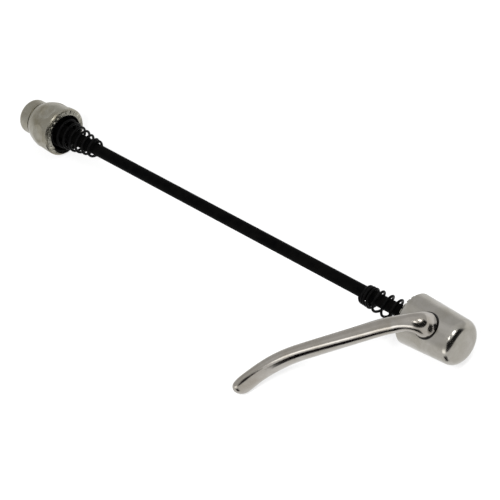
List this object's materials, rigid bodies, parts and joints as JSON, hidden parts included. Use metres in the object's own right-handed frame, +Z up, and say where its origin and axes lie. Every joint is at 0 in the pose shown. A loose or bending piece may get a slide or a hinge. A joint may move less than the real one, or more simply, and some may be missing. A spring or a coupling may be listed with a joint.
{
  "type": "bicycle quick release skewer",
  "caption": "Quick release skewer for a bicycle hub: a threaded rod with a cam lever head at one end, an adjusting nut at the other and tapered springs between them.",
  "frame": {"origin": "centre of the head's clamp face, on the axis of the rod", "axes": "+X along the rod from the adjusting nut to the head, +Z up as the open skewer lies on a table, +Y to the side away from the lever's blade"},
  "size_m": [0.2068, 0.0577, 0.025],
  "materials": {
    "chrome_plate": "bright nickel and chrome plate on steel",
    "plain_steel": "turned steel, lightly oiled",
    "black_steel": "black oxide on steel",
    "black_spring": "black lacquered spring wire",
    "black_nylon": "moulded black nylon"
  },
  "bodies": {
    "head": {"head_housing": "chrome_plate", "head_clamp_ring": "plain_steel", "lever_bush": "black_nylon"},
    "cam_lever": {"lever": "chrome_plate", "tail_washer": "plain_steel", "cap_nut": "chrome_plate"},
    "rod": {"skewer_rod": "black_steel", "cam_follower": "plain_steel", "head_spring": "black_spring"},
    "nut_carriage": {"nut_spring": "black_spring"},
    "adjusting_nut": {"nut_body": "chrome_plate", "nut_clamp_ring": "plain_steel", "nut_insert": "black_nylon"}
  },
  "joints": [
    {"name": "lever_pivot", "type": "hinge", "parent": "head", "child": "cam_lever", "pos_m": [0.0105, 0, 0], "axis": [0, -0.4105, 0.9119], "range_deg": [0, 222]},
    {"name": "rod_slide", "type": "slide", "parent": "head", "child": "rod", "axis": [1, 0, 0], "range_m": [0, 0.00166]},
    {"name": "nut_travel", "type": "slide", "parent": "rod", "child": "nut_carriage", "axis": [1, 0, 0], "range_m": [-0.00321, 0.01841]},
    {"name": "nut_turn", "type": "hinge", "parent": "nut_carriage", "child": "adjusting_nut", "pos_m": [-0.166, 0, 0], "axis": [1, 0, 0], "range_deg": [-1440, 8280]}
  ],
  "couplings": [
    {"joint": "rod_slide", "follows": "lever_pivot", "m_per_rad": 0.00042739},
    {"joint": "nut_travel", "follows": "nut_turn", "m_per_rad": 0.00012732}
  ]
}
